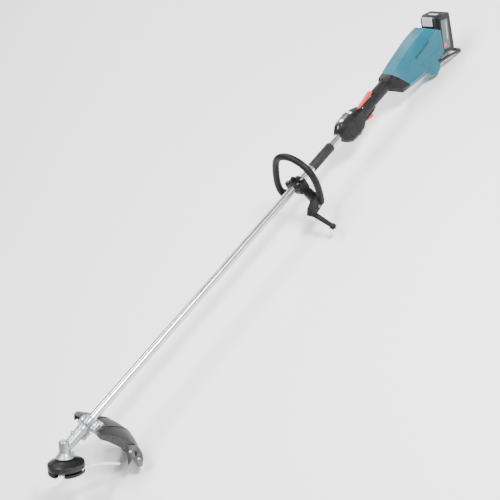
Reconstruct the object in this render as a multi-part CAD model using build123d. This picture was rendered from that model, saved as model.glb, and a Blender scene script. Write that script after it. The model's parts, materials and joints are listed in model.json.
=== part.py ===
from build123d import *
import os
import math

os.makedirs("parts", exist_ok=True)

# ---------------------------------------------------------------- driving dimensions (mm, degrees)
TUBE_OD = 24.0             # main pipe, aluminium
TUBE_WALL = 1.5
TUBE_X0, TUBE_X1 = 40.0, 1512.0
HEAD_ANGLE = 31.8          # pipe above the cutting plane
HEAD_DROP = 64.7           # underside of the head below the point where spindle and pipe axes meet
HEAD_R = 50.0              # cutting head radius
BLADE_PIVOT_R = 36.0
BLADE_ROOT_ANGLES = (145.0, 25.0, -95.0)   # clockwise from the operator, seen from above
BLADE_REST_SWING = (-4.0, -9.0, 1.0)
BLADE_TIP_R = 136.0
SHAFT_R = 3.5              # drive shaft inside the pipe
GUARD_R = 208.0
GUARD_SKIRT_Z = -14.0
GUARD_ROLL = 11.0          # guard turned about the pipe, left side down
GUARD_NEAR, GUARD_FAR = 41.0, 38.0         # half angles of the guard, left and right of the pipe
GUARD_T = 3.0
HANDLE_X = 1030.0          # middle of the handle clamp along the pipe
GRIP_R = 19.8
GRIP_Z = -1.2              # rear grip centre below the pipe axis
SLEEVE_X0, SLEEVE_X1, SLEEVE_R = 1102.0, 1196.0, 14.6
BOX_X0, BOX_X1 = 1236.0, 1346.0            # control box
GRIP_X1 = 1468.0
BAT_TILT = 24.7            # battery long axis, leaning back from the pipe's normal
BAT_W = 76.0
BAT_O = (1690.0, 0.0, -62.0)               # front bottom edge of the battery
BAIL_R = 4.5
REST_TILT = 2.2182         # nose-down tilt that lays guard and bail on one flat floor

# ---------------------------------------------------------------- frames
# Everything is drawn in the pipe frame: +X along the pipe towards the battery, +Y to the
# operator's right, +Z square to the pipe, origin where spindle axis and pipe axis meet.
TH = math.radians(HEAD_ANGLE)
LOC_U = Location((0, 0, 0), (0, HEAD_ANGLE, 0)) * Location((0, 0, -HEAD_DROP))   # spindle frame, z up the spindle, 0 under the head
LOC_G = Location((0, 0, 0), (GUARD_ROLL, 0, 0)) * Location((0, 0, 0), (0, HEAD_ANGLE, 0)) * Location((0, 0, -60.74))   # guard frame
LOC_B = Location(BAT_O, (0, BAT_TILT, 0))                                         # battery frame, x rearward, z along the pack
LOC_REST = Location((0, 0, 0), (0, REST_TILT, 0))


# ---------------------------------------------------------------- helpers
def V(p):
    return Vector(*p)


def rod(p, q, r, r2=None):
    """Round bar from p to q."""
    p, q = V(p), V(q)
    d = q - p
    if r2 is None:
        return Solid.make_cylinder(r, d.length, Plane(origin=p, z_dir=d))
    return Solid.make_cone(r, r2, d.length, Plane(origin=p, z_dir=d))


def ring(p, q, ro, ri):
    """Tube from p to q."""
    pv, qv = V(p), V(q)
    u = (qv - pv).normalized()
    a, b = pv - u, qv + u
    return rod(p, q, ro).cut(rod((a.X, a.Y, a.Z), (b.X, b.Y, b.Z), ri))


def slab(x0, x1, y0, y1, z0, z1):
    return Solid.make_box(x1 - x0, y1 - y0, z1 - z0, Plane(origin=(x0, y0, z0)))


def poly(pts):
    return Wire.make_polygon([V(p) for p in pts], close=True)


def prism(pts, y0, y1):
    """Polygon in x,z pushed from y0 to y1."""
    return Solid.extrude(Face(poly([(x, y0, z) for x, z in pts])), Vector(0, y1 - y0, 0))


def plate(pts, z0, z1):
    """Polygon in x,y pushed from z0 to z1."""
    return Solid.extrude(Face(poly([(x, y, z0) for x, y in pts])), Vector(0, 0, z1 - z0))


def lathe(pts, angle=360.0):
    """Polygon in r,z turned about Z."""
    return Solid.revolve(Face(poly([(r, 0, z) for r, z in pts])), angle, Axis.Z)


def lathe_x(pts):
    """Polygon in x,r turned about X."""
    return Solid.revolve(Face(poly([(x, 0, r) for x, r in pts])), 360.0, Axis.X)


def cut(a, *tools):
    for t in tools:
        a = a.cut(t)
    return a


def fuse(a, *more):
    for m in more:
        a = a.fuse(m)
    return a


def meet(a, b):
    r = a.intersect(b)
    out = []
    for s in (r if isinstance(r, (list, tuple)) else [r]):
        out += list(s.solids())
    return out[0] if len(out) == 1 else Compound(out)


def solids(*things):
    out = []
    for t in things:
        if isinstance(t, (list, tuple)):
            out += solids(*t)
        else:
            out += list(t.solids())
    return out


def hexagon(r, z0, z1):
    """Hexagonal head about Z, r across the corners."""
    return plate([(r * math.cos(math.radians(60 * k)), r * math.sin(math.radians(60 * k))) for k in range(6)], z0, z1)


def screw(p, d, shank_r, length, head_r, head_h, drive=0.5):
    """Cap screw: under-head point p, pointing along d, hexagon socket."""
    pl = Plane(origin=V(p), z_dir=V(d))
    loc = pl.location
    body = fuse(Solid.make_cylinder(shank_r, length), Solid.make_cylinder(head_r, head_h, Plane(origin=(0, 0, -head_h))))
    body = body.cut(hexagon(head_r * drive, -head_h - 1, -head_h * 0.4))
    return body.moved(loc)


def at(shape, loc):
    return shape.moved(loc)


def fillet_try(shape, edges, r):
    try:
        return shape.fillet(r, edges)
    except Exception:
        return shape


PARTS = {}


def save(name, *things, loc=None):
    ss = solids(*things)
    if loc is not None:
        ss = [s.moved(loc) for s in ss]
    PARTS[name] = ss


# ================================================================ cutting head (spindle frame)
def U(r, ang, z):
    """Point at radius r, angle clockwise from the rear seen from above, height z."""
    a = math.radians(ang)
    return (r * math.cos(a), -r * math.sin(a), z)


def turned(shape, ang):
    """Turn a piece drawn along +X round the spindle to the clockwise angle."""
    return shape.moved(Location((0, 0, 0), (0, 0, -ang)))


# upper cover: shallow dome with a side wall, a hub that bears on the drive washer
cover = lathe([(4.6, 34.0), (14.0, 34.0), (22.0, 35.0), (46.6, 26.0), (46.6, 14.5), (50.0, 14.5), (50.0, 26.5), (48.9, 29.2),
               (46.0, 31.2), (34.0, 36.0), (25.0, 41.0), (22.5, 41.6), (16.5, 38.2), (4.6, 38.2)])
hub = lathe([(4.6, 15.0), (9.0, 15.0), (9.0, 34.5), (4.6, 34.5)])
cover = fuse(cover, hub)
save("head_upper_cover", cover, loc=LOC_U)

# lower plate: rim with three mouths for the blade roots, pivot bosses, centre boss
base = lathe([(4.6, 0.0), (46.5, 0.0), (50.0, 2.2), (50.0, 9.0), (47.4, 9.0), (47.4, 4.0), (13.0, 4.0), (13.0, 14.7), (4.6, 14.7)])
for a in BLADE_ROOT_ANGLES:
    base = cut(base, turned(slab(40.0, 60.0, -15.0, 15.0, -1.0, 20.0), a))
ringwall = lathe([(24.5, 3.5), (27.0, 3.5), (27.0, 14.0), (24.5, 14.0)])
base = fuse(base, ringwall)
pinhole = [rod(U(BLADE_PIVOT_R, a, -1), U(BLADE_PIVOT_R, a, 20), 3.05) for a in BLADE_ROOT_ANGLES]
base = cut(base, *pinhole)
nutwell = lathe([(0.0, -1.0), (12.0, -1.0), (12.0, 4.6), (0.0, 4.6)])
base = cut(base, nutwell)
save("head_lower_plate", base, loc=LOC_U)

pins = []
for a in BLADE_ROOT_ANGLES:
    p = fuse(rod(U(BLADE_PIVOT_R, a, 0.6), U(BLADE_PIVOT_R, a, 24.0), 3.0), rod(U(BLADE_PIVOT_R, a, 14.7), U(BLADE_PIVOT_R, a, 18.5), 5.5))
    pins.append(p)
save("blade_pins", pins, loc=LOC_U)

# flexible blades: ring root on the pin, neck through the mouth, long curved tapering sickle
for i, a in enumerate(BLADE_ROOT_ANGLES):
    L = BLADE_TIP_R - BLADE_PIVOT_R
    n = 15
    up, lo = [], []
    for k in range(n):
        t = k / (n - 1)
        u = 4.0 + t * (L - 4.0)
        c = -1.0 + 37.0 * t ** 2.1 - 5.0 * math.sin(math.pi * min(t, 1.0))
        h = 7.4 + 1.6 * math.sin(math.pi * min(1.0, t * 1.3)) - 3.2 * t
        if t > 0.86:
            h *= max(0.12, 1 - ((t - 0.86) / 0.14) ** 2 * 0.88)
        up.append((BLADE_PIVOT_R + u, c + h))
        lo.append((BLADE_PIVOT_R + u, c - h))
    pts = lo + up[::-1]
    # drawn along +X with the tip bending clockwise, which is -Y here
    face = Face(Wire([Edge.make_spline([V((x, -y, 5.2)) for x, y in up]), Edge.make_line(V((up[-1][0], -up[-1][1], 5.2)), V((lo[-1][0], -lo[-1][1], 5.2))),
                      Edge.make_spline([V((x, -y, 5.2)) for x, y in lo[::-1]]), Edge.make_line(V((lo[0][0], -lo[0][1], 5.2)), V((up[0][0], -up[0][1], 5.2)))]))
    blade = Solid.extrude(face, Vector(0, 0, 4.6))
    root = rod((BLADE_PIVOT_R, 0, 4.6), (BLADE_PIVOT_R, 0, 14.1), 8.2)
    blade = fuse(blade, root)
    blade = cut(blade, rod((BLADE_PIVOT_R, 0, 0), (BLADE_PIVOT_R, 0, 20), 3.1))
    blade = blade.moved(Location((-BLADE_PIVOT_R, 0, 0))).moved(Location((BLADE_PIVOT_R, 0, 0), (0, 0, -BLADE_REST_SWING[i])))
    save("blade_%d" % (i + 1), turned(blade, a), loc=LOC_U)

# spindle, washer, nut
save("output_spindle", fuse(rod((0, 0, 2.0), (0, 0, 88.3), 4.0), rod((0, 0, 59.2), (0, 0, 61.4), 6.2)), loc=LOC_U)
save("drive_washer", cut(lathe([(4.1, 38.4), (13.5, 38.4), (13.5, 41.4), (10.0, 42.0), (4.1, 42.0)])), loc=LOC_U)
nut = cut(hexagon(9.0, 1.0, 4.4), rod((0, 0, 0), (0, 0, 6), 4.05))
nut = fuse(nut, ring((0, 0, 4.2), (0, 0, 4.6), 10.5, 4.05))
save("head_nut", nut, loc=LOC_U)

# ================================================================ gear case (spindle frame + pipe frame)
knob = lathe([(0, 44.6), (26.0, 44.6), (26.0, 46.2), (24.5, 47.6), (19.0, 53.0), (16.2, 57.2), (15.2, 58.0), (14.6, 60.0), (14.3, 62.0), (14.3, 84.0),
              (13.4, 87.6), (11.0, 90.2), (7.0, 91.8), (0, 92.4)])
knob = at(knob, LOC_U)
neck = lathe_x([(4.0, 0), (4.0, 13.0), (44.0, 14.8), (60.0, 15.2), (66.0, 15.2), (66.8, 16.6), (81.0, 16.6), (84.0, 15.4), (84.0, 0)])
lug = prism([(52.0, -8.0), (80.0, -8.0), (80.0, -21.5), (76.0, -23.0), (58.0, -23.0), (52.0, -19.0)], -10.0, 10.0)
toppad = rod((46.0, 0, 10.0), (46.0, 0, 17.4), 5.2)
ear = at(rod((15.5, -14.5, 44.6), (15.5, -14.5, 56.0), 4.4), LOC_U)
case = fuse(knob, neck, lug, toppad, ear)
case = cut(case, at(lathe([(0, 44.0), (18.0, 44.0), (18.0, 50.8), (11.05, 50.8), (11.05, 59.0), (12.0, 60.0), (12.0, 86.0), (10.0, 88.6), (0, 88.6)]), LOC_U))
case = cut(case, rod((8.0, 0, 0), (27.4, 0, 0), 10.05), rod((27.3, 0, 0), (40.2, 0, 0), 8.0), rod((40.0, 0, 0), (95.0, 0, 0), TUBE_OD / 2 + 0.02))
case = cut(case, slab(56.0, 95.0, -1.0, 1.0, -30.0, -5.0))                        # clamp slit
case = cut(case, rod((68.0, -12, -17.0), (68.0, 12, -17.0), 2.6), rod((68.0, -12, -17.0), (68.0, -9.0, -17.0), 5.0))
case = cut(case, rod((46.0, 0, 14.0), (46.0, 0, 20.0), 2.6))
case_screws = [screw((68.0, -9.2, -17.0), (0, 1, 0), 2.5, 19.0, 4.4, 4.6), screw((46.0, 0, 17.5), (0, 0, -1), 2.5, 3.3, 4.4, 3.4),
               at(screw((15.5, -14.5, 56.1), (0, 0, -1), 1.8, 4.0, 3.4, 2.6), LOC_U)]
case = cut(case, *case_screws)
save("gear_case", case)
save("gear_case_cap", at(cut(lathe([(9.4, 44.9), (17.9, 44.9), (17.9, 50.6), (11.2, 50.6), (11.2, 48.6), (9.4, 48.6)])), LOC_U))
save("gear_case_screws", case_screws)
save("gear_case_bearings", ring((20.6, 0, 0), (27.3, 0, 0), 10.0, 3.6), at(ring((0, 0, 51.0), (0, 0, 58.6), 11.0, 4.05), LOC_U),
     at(cut(ring((0, 0, 82.6), (0, 0, 88.4), 9.7, 4.05)), LOC_U))

# bevel pair: pitch cones meet where the axes cross
PITCH_G, PITCH_P, CONE = 33.0, 25.2, 15.4
GEAR_RATIO = math.sin(math.radians(PITCH_G)) / math.sin(math.radians(PITCH_P))


def bevel(pitch, bore, back, teeth):
    """Bevel wheel about +Z with its apex at the origin."""
    a = math.radians(pitch - 1.6)
    r1, r2 = 10.2, CONE
    pts = [(bore, r1 * math.cos(a)), (r1 * math.sin(a), r1 * math.cos(a)), (r2 * math.sin(a), r2 * math.cos(a)),
           (r2 * math.sin(a) - 0.8, r2 * math.cos(a) + 1.4), (r2 * math.sin(a) - 1.2, back), (bore, back)]
    g = lathe(pts)
    tools = []
    for k in range(teeth):
        b = 2 * math.pi * k / teeth
        c = math.radians(pitch + 1.2)
        u = (math.sin(c) * math.cos(b), math.sin(c) * math.sin(b), math.cos(c))
        tools.append(rod([v * 9.0 for v in u], [v * 20.0 for v in u], 0.55, 1.05))
    return cut(g, *tools)


save("driven_bevel_gear", at(bevel(PITCH_G, 4.02, 17.2, 18), LOC_U * Location((0, 0, HEAD_DROP))))
save("drive_pinion", at(bevel(PITCH_P, SHAFT_R + 0.02, 19.8, 14), Location((0, 0, 0), (0, 90, 0))))

# ================================================================ pipe, drive shaft
save("main_pipe", ring((TUBE_X0, 0, 0), (TUBE_X1, 0, 0), TUBE_OD / 2, TUBE_OD / 2 - TUBE_WALL))
shaft = rod((12.0, 0, 0), (1566.0, 0, 0), SHAFT_R)
save("drive_shaft", shaft)
bushes = []
for x in (215.0, 420.0, 625.0, 830.0, 1035.0, 1240.0, 1445.0):
    bushes.append(ring((x, 0, 0), (x + 22.0, 0, 0), TUBE_OD / 2 - TUBE_WALL, SHAFT_R + 0.1))
save("shaft_bushes", bushes)

# ================================================================ guard bracket and guard
# silver bracket: saddle over the pipe, foot plate under it, two bolts
saddle = ring((86.0, 0, 0), (112.0, 0, 0), 16.4, TUBE_OD / 2 + 0.02)
wing = slab(86.0, 112.0, -34.0, 34.0, -8.0, 0.5)
wing = fillet_try(wing, wing.edges().filter_by(Axis.Z), 5.0)
upper = fuse(saddle, wing)
upper = cut(upper, rod((80, 0, 0), (130, 0, 0), TUBE_OD / 2 + 0.02), slab(80, 130, -40, 40, -40, -7.0))
foot = slab(86.0, 120.0, -34.0, 34.0, -17.0, -7.6)
foot = fillet_try(foot, foot.edges().filter_by(Axis.Z), 5.0)
foot = cut(foot, rod((80, 0, 0), (140, 0, 0), TUBE_OD / 2 + 0.02))
gb_holes = [rod((98.0, s * 24.0, -40), (98.0, s * 24.0, 10), 3.05) for s in (-1, 1)]
LOC_ROLL = Location((0, 0, 0), (GUARD_ROLL, 0, 0))
save("guard_bracket_cap", cut(upper, *gb_holes), loc=LOC_ROLL)
save("guard_bracket_base", cut(foot, *gb_holes), loc=LOC_ROLL)

# guard: fan-shaped hood round the spindle, thin shell with a deep skirt
prof_out = [(84.0, 104.0), (104.0, 104.0), (130.0, 101.0), (152.0, 95.5), (171.0, 87.5), (186.0, 75.0), (195.5, 59.0), (202.0, 41.0), (206.0, 16.0), (GUARD_R, GUARD_SKIRT_Z)]


def inward(pts, t):
    """Same profile moved inwards by t (down and towards the spindle)."""
    out = []
    for i, (r, z) in enumerate(pts):
        a = pts[max(i - 1, 0)]
        b = pts[min(i + 1, len(pts) - 1)]
        dr, dz = b[0] - a[0], b[1] - a[1]
        n = math.hypot(dr, dz)
        out.append((r + dz / n * t, z - dr / n * t))
    return out


prof_in = inward(prof_out, GUARD_T)
prof_in[-1] = (GUARD_R - GUARD_T, GUARD_SKIRT_Z)


def hood(outer, inner, a0, a1):
    """Shell of revolution between two clockwise angles, with smooth profiles."""
    w = Wire([Edge.make_spline([V((r, 0, z)) for r, z in outer]), Edge.make_line(V((outer[-1][0], 0, outer[-1][1])), V((inner[-1][0], 0, inner[-1][1]))),
              Edge.make_spline([V((r, 0, z)) for r, z in inner[::-1]]), Edge.make_line(V((inner[0][0], 0, inner[0][1])), V((outer[0][0], 0, outer[0][1])))])
    s = Solid.revolve(Face(w), a1 - a0, Axis.Z)
    return turned(s, a1)          # revolving is counter-clockwise, so start from the clockwise end


shell = hood(prof_out, prof_in, -GUARD_FAR, GUARD_NEAR)
side_t = 3.0
crown = inward(prof_out, 1.5)[0:9]


def wall(lower, y0, y1):
    """Radial end wall whose top edge runs inside the hood's skin."""
    top = Edge.make_spline([V((r, y0, z)) for r, z in crown])
    rest = [crown[-1]] + lower + [crown[0]]
    edges = [Edge.make_line(V((p[0], y0, p[1])), V((q[0], y0, q[1]))) for p, q in zip(rest, rest[1:])]
    return Solid.extrude(Face(Wire([top] + edges)), Vector(0, y1 - y0, 0))


near_wall = turned(wall([(196.0, 14.0), (188.0, 30.0), (172.0, 48.0), (160.0, 57.0), (138.0, 71.0), (112.0, 84.0), (94.0, 90.0)], 0.4, side_t + 0.4), GUARD_NEAR)
far_wall = turned(wall([(197.0, 14.0), (190.0, 40.0), (176.0, 60.0), (152.0, 73.0), (128.0, 83.0), (94.0, 92.0)], -side_t - 0.4, -0.4), -GUARD_FAR)
hoodsolid = fuse(shell, near_wall, far_wall)
# two swept ribs on the hood
for a0, a1, w in ((-9.0, 4.0, 1.5), (16.0, 30.0, 1.5)):
    rib = hood(inward(prof_out, -1.5)[1:8], inward(prof_out, 1.0)[1:8], 0.0, w)
    hoodsolid = fuse(hoodsolid, turned(rib, a0))
# mounting pad that meets the bracket foot (pipe frame)
pad = slab(88.0, 120.0, -33.0, 33.0, -29.0, -17.02)
pad = fillet_try(pad, pad.edges().filter_by(Axis.Z), 5.0)
LOC_UG = Location((0, 0, 0), (0, HEAD_ANGLE, 0)) * Location((0, 0, -60.74))
guard = fuse(at(hoodsolid, LOC_UG), pad)
# keep clear of the pipe, the bracket and the gear case clamp
guard = cut(guard, slab(40.0, 122.0, -38.0, 38.0, -17.02, 60.0), rod((60, 0, 0), (400, 0, 0), 15.0), rod((30, 0, 0), (86.0, 0, 0), 28.0))
guard_bolts = [fuse(rod((98.0, s * 24.0, -33.5), (98.0, s * 24.0, 2.0), 3.0), hexagon(6.4, 0.5, 5.0).moved(Location((98.0, s * 24.0, 0))),
                    hexagon(6.4, -33.0, -29.1).moved(Location((98.0, s * 24.0, 0)))) for s in (-1, 1)]
front_trim = slab(40.0, 99.0, 34.0, 200.0, 60.0, 140.0)      # front corner of the right half is cut away
guard = cut(guard, at(front_trim, LOC_UG))
guard = cut(guard, *guard_bolts).moved(LOC_ROLL)
# right-hand side of the skirt rises, middle stands flat on the floor when the machine lies down
trim = Solid.extrude(Face(poly([(0, 30.0, -60.0), (0, 30.0, -20.0), (0, 52.0, 16.0), (0, 210.0, 44.0), (0, 210.0, -60.0)])), Vector(320.0, 0, 0))
guard = cut(guard, at(trim, Location((0, 0, 0), (0, HEAD_ANGLE, 0)) * Location((0, 0, -60.74))))
trim2 = Solid.extrude(Face(poly([(0, -52.0, -60.0), (0, -52.0, -18.0), (0, -70.0, -9.0), (0, -210.0, -9.0), (0, -210.0, -60.0)])), Vector(320.0, 0, 0))
guard = cut(guard, at(trim2, Location((0, 0, 0), (0, HEAD_ANGLE, 0)) * Location((0, 0, -60.74))))
FLOOR_C = (138.5, -171.4)                              # where the floor line passes under the guard, pipe frame
floor_tool = Solid.make_box(900, 600, 200, Plane(origin=(-450, -300, -200))).moved(Location((FLOOR_C[0], 0, FLOOR_C[1]), (0, -REST_TILT, 0)))
guard = cut(guard, floor_tool)
save("guard", guard)
save("guard_bolts", guard_bolts, loc=LOC_ROLL)

# line and blade trimmer at the left end of the guard: two-pronged plate, radial
knife = prism([(166.0, 72.0), (165.5, 50.0), (166.5, 30.0), (168.5, 12.0), (174.0, 24.0), (180.0, 33.0), (186.0, 24.0), (193.0, 11.0), (201.0, 9.5), (207.0, 13.0),
               (208.0, 32.0), (205.5, 48.0), (199.0, 62.0), (190.0, 74.0)], -4.2, 0.0)
knife = cut(knife, prism([(184.0, 58.0), (192.0, 55.0), (189.0, 40.0), (186.0, 42.0)], -7.0, 2.0))
cutter_screws = [screw((173.0, -4.5, 58.0), (0, 1, 0), 2.0, 7.2, 3.6, 2.4), screw((196.0, -4.5, 36.0), (0, 1, 0), 2.0, 7.2, 3.6, 2.4)]
knife = cut(knife, *[rod((x, -8, z), (x, 2, z), 2.05) for x, z in ((173.0, 58.0), (196.0, 36.0))])
save("line_cutter", turned(knife, GUARD_NEAR), loc=LOC_G)
save("line_cutter_screws", [turned(c, GUARD_NEAR) for c in cutter_screws], loc=LOC_G)
PARTS["guard"] = solids(cut(Compound(PARTS["guard"]), *PARTS["line_cutter_screws"]))

# ================================================================ loop handle (pipe frame)
LOOP = [(84.0, -50.0), (91.0, -28.0), (81.0, 14.0), (63.0, 51.0), (38.0, 85.0), (0.0, 101.0), (-42.0, 96.0), (-73.0, 76.0), (-90.5, 46.0), (-91.5, 9.0), (-83.0, -28.0), (-73.0, -51.0)]


def loop_pt(y, z):
    return (1030.0 + 0.1 * z, y, z)


path = Wire([Edge.make_spline([V(loop_pt(y, z)) for y, z in LOOP])])
start = path.edges()[0]


def swept(wire, r, ri=None):
    e = wire.edges()[0]
    pl = Plane(origin=e @ 0, z_dir=e % 0)
    face = Face(Wire([Edge.make_circle(r, pl)]))
    s = Solid.sweep(face, wire)
    return s


core = swept(path, 7.0)
grip_out = swept(path, 10.2)
save("loop_handle_tube", core)
grip_pad = cut(grip_out, swept(path, 7.03))
save("loop_handle_grip", grip_pad)

# clamp: lower half carries both arms and the barrier bar
low = slab(HANDLE_X - 19, HANDLE_X + 19, -30.0, 30.0, -17.0, -0.4)
low = fillet_try(low, low.edges().filter_by(Axis.Z), 6.0)
arm_l = Solid.make_loft([poly([(HANDLE_X - 13, -20, -2), (HANDLE_X + 13, -20, -2), (HANDLE_X + 13, -20, -17), (HANDLE_X - 13, -20, -17)]),
                         poly([(HANDLE_X - 22, -62, -30), (HANDLE_X + 6, -62, -30), (HANDLE_X + 4, -62, -50), (HANDLE_X - 24, -62, -54)])], True)
arm_r = Solid.make_loft([poly([(HANDLE_X - 13, 20, -2), (HANDLE_X + 13, 20, -2), (HANDLE_X + 13, 20, -17), (HANDLE_X - 13, 20, -17)]),
                         poly([(HANDLE_X - 12, 72, -40), (HANDLE_X + 7, 72, -40), (HANDLE_X + 7, 72, -55), (HANDLE_X - 12, 72, -55)])], True)
sock_l = prism([(1037.0, -32.0), (1037.0, -49.0), (1030.0, -54.0), (1008.0, -59.0), (978.0, -64.0), (970.0, -57.0), (984.0, -41.0), (1010.0, -29.0)], -80.0, -57.0)
sock_l = fillet_try(sock_l, sock_l.edges().filter_by(Axis.Y), 3.0)
sock_r = slab(HANDLE_X - 15, HANDLE_X + 9, 68.0, 88.0, -57.0, -37.0)
sock_r = fillet_try(sock_r, sock_r.edges().filter_by(Axis.Y), 4.0)
lower = fuse(low, arm_l, arm_r, sock_l, sock_r)
lower = cut(lower, rod((HANDLE_X - 40, 0, 0), (HANDLE_X + 40, 0, 0), TUBE_OD / 2 + 0.02), swept(path, 10.25))
cb = [(HANDLE_X + dx, s * 21.0) for dx in (-11.0, 11.0) for s in (-1, 1)]
lower = cut(lower, *[rod((x, y, -30), (x, y, 10), 2.55) for x, y in cb])
sock_screws = [screw((HANDLE_X - 22, -80.1, -50), (0, 1, 0), 2.2, 12.0, 4.0, 2.6), screw((HANDLE_X - 3, 88.1, -52.5), (0, -1, 0), 2.2, 9.0, 3.4, 2.6)]
lower = cut(lower, *sock_screws)
save("handle_clamp_lower", lower)

up = slab(HANDLE_X - 19, HANDLE_X + 19, -30.0, 30.0, 0.4, 11.0)
up = fillet_try(up, up.edges().filter_by(Axis.Z), 6.0)
up = fuse(up, rod((HANDLE_X - 19, 0, 0), (HANDLE_X + 19, 0, 0), 19.0))
up = cut(up, slab(HANDLE_X - 30, HANDLE_X + 30, -40, 40, -40, 0.4))
for x, y in cb:
    up = fuse(up, rod((x, y, 4.0), (x, y, 17.0 if not (x > HANDLE_X and y > 0) else 11.0), 7.6))
lugp = prism([(HANDLE_X - 12, 15.0), (HANDLE_X + 8, 15.0), (HANDLE_X + 4, 27.0), (HANDLE_X + 1, 31.0), (HANDLE_X - 5, 31.0), (HANDLE_X - 8, 27.0)], -3.0, 3.0)
up = fuse(up, lugp)
up = cut(up, rod((HANDLE_X - 40, 0, 0), (HANDLE_X + 40, 0, 0), TUBE_OD / 2 + 0.02))
up = cut(up, *[rod((x, y, -30), (x, y, 30), 2.55) for x, y in cb], *[rod((x, y, 12.0), (x, y, 30), 4.7) for x, y in cb])
up = cut(up, rod((HANDLE_X - 2, -10, 25.2), (HANDLE_X - 2, 10, 25.2), 3.0))
save("handle_clamp_upper", up)
save("handle_clamp_screws", [screw((x, y, 12.0), (0, 0, -1), 2.5, 27.0, 4.5, 5.0) for x, y in cb], sock_screws)
for n in ("loop_handle_tube", "loop_handle_grip"):
    PARTS[n] = solids(cut(Compound(PARTS[n]), *sock_screws))

# barrier bar: stub out of the left socket, elbow, bar with a ball end
bar = fuse(rod((986.0, -70.0, -62.0), (981.0, -131.0, -92.0), 8.6, 6.6), Solid.make_sphere(9.6, Plane(origin=(980.6, -134.0, -93.5))),
           Solid.make_sphere(9.4, Plane(origin=(986.0, -70.0, -62.0))))
bar = cut(bar, sock_l)
save("barrier_bar", max(bar.solids(), key=lambda q: q.volume))

# ================================================================ spacer sleeve
save("spacer_sleeve", cut(lathe_x([(SLEEVE_X0, 0), (SLEEVE_X0, 13.6), (SLEEVE_X0 + 2.5, SLEEVE_R), (SLEEVE_X1 - 2.5, SLEEVE_R), (SLEEVE_X1, 13.6), (SLEEVE_X1, 0)]),
                          rod((SLEEVE_X0 - 5, 0, 0), (SLEEVE_X1 + 5, 0, 0), TUBE_OD / 2 + 0.02)))

# ================================================================ control box and rear grip, two mirrored shells


def oct_sec(x, a, b, c, d):
    """Eight-sided section at x from its right-hand corners (y, z)."""
    r = [a, b, c, d]
    return poly([(x, y, z) for y, z in r] + [(x, -y, z) for y, z in r[::-1]])


def shell_loft(secs, ruled=True):
    return Solid.make_loft([oct_sec(*s) for s in secs], ruled)


def shrink(secs, t):
    """Section corners moved inwards by t."""
    out = []
    for x, a, b, c, d in secs:
        out.append((x, (a[0] - t * 0.75, a[1] - t), (b[0] - t, b[1] - t * 0.4), (c[0] - t, c[1] + t * 0.3), (d[0] - t * 0.8, d[1] + t)))
    return out


box_secs = [(BOX_X0, (13, 15), (17, 8), (17, -10), (12, -18)), (1250.0, (15.5, 26), (21, 15), (21, -22), (14, -31)), (1263.0, (16, 31), (22, 19), (22.5, -28), (15, -39)),
            (1300.0, (16, 32.5), (22.5, 20), (23, -31), (15.5, -43)), (1322.0, (15.5, 28), (22, 17), (22, -27), (15, -37.5)), (1338.0, (13, 22.5), (19.5, 13), (19.5, -18), (13, -26)),
            (BOX_X1 + 4, (12, 17.5), (17.5, 10), (17.5, -10), (12, -17))]
box_out = shell_loft(box_secs)
box_in = shell_loft([(BOX_X0 + 3,) + shrink([box_secs[0]], 2.6)[0][1:]] + shrink(box_secs[1:-1], 2.6) + [(BOX_X1 + 3.9,) + shrink([box_secs[-1]], 2.6)[0][1:]])
grip_o = lathe_x([(1338.0, 0), (1338.0, GRIP_R - 1.5), (1344.0, GRIP_R), (GRIP_X1, GRIP_R), (GRIP_X1, 0)]).moved(Location((0, 0, GRIP_Z)))
heel = prism([(1334.0, -10.0), (1334.0, -25.0), (1352.0, -26.5), (1384.0, -24.5), (1396.0, -19.0), (1396.0, -10.0)], -12.5, 12.5)
heel = fillet_try(heel, heel.edges().filter_by(Axis.X), 3.0)
outer = fuse(box_out, grip_o, heel)
g_in = lathe_x([(1344.0, 0), (1344.0, GRIP_R - 2.8), (GRIP_X1 - 6, GRIP_R - 2.8), (GRIP_X1 - 6, 0)]).moved(Location((0, 0, GRIP_Z)))
shells = cut(outer, box_in, g_in)
collar = ring((BOX_X0, 0, 0), (BOX_X0 + 8, 0, 0), 17.0, 11.0)
collar = meet(collar, outer)
midcol = ring((1336.0, 0, 0), (1341.0, 0, 0), 18.4, 11.0)
shells = fuse(shells, collar, meet(midcol, outer))
shells = cut(shells, rod((1200, 0, 0), (1500, 0, 0), TUBE_OD / 2 + 0.02))
# panel recess on top, lever slot, trigger slot
PANEL = prism([(1240.5, 17.2), (1250.6, 27.8), (1263.4, 32.6), (1300.0, 34.2), (1318.0, 29.6), (1331.0, 25.4), (1331.0, 19.0), (1240.5, 10.0)], -13.2, 13.2)
shells = cut(shells, PANEL)
lever_slot = slab(1341.0, 1416.0, -7.4, 7.4, 12.3, 40.0)
trig_slot = slab(1326.0, 1381.0, -7.0, 7.0, -60.0, -12.2)
shells = cut(shells, lever_slot, trig_slot)
# shadow line between the front block and the pod, on both flanks
for s in (-1, 1):
    y0, y1 = (20.6, 30.0) if s > 0 else (-30.0, -20.6)
    shells = cut(shells, prism([(1259.0, -6.0), (1260.2, -6.0), (1274.0, -45.0), (1272.4, -45.0)], y0, y1))
pivots = [((1350.0, 15.4), 1.55), ((1332.5, -20.5), 1.55)]
for (x, z), r in pivots:
    shells = cut(shells, rod((x, -14.5, z), (x, 14.5, z), r))
left = meet(shells, slab(1200, 1500, -60, 0, -80, 80))
right = meet(shells, slab(1200, 1500, 0, 60, -80, 80))
save("handle_shell_left", max(left.solids(), key=lambda q: q.volume))
save("handle_shell_right", max(right.solids(), key=lambda q: q.volume))

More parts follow.
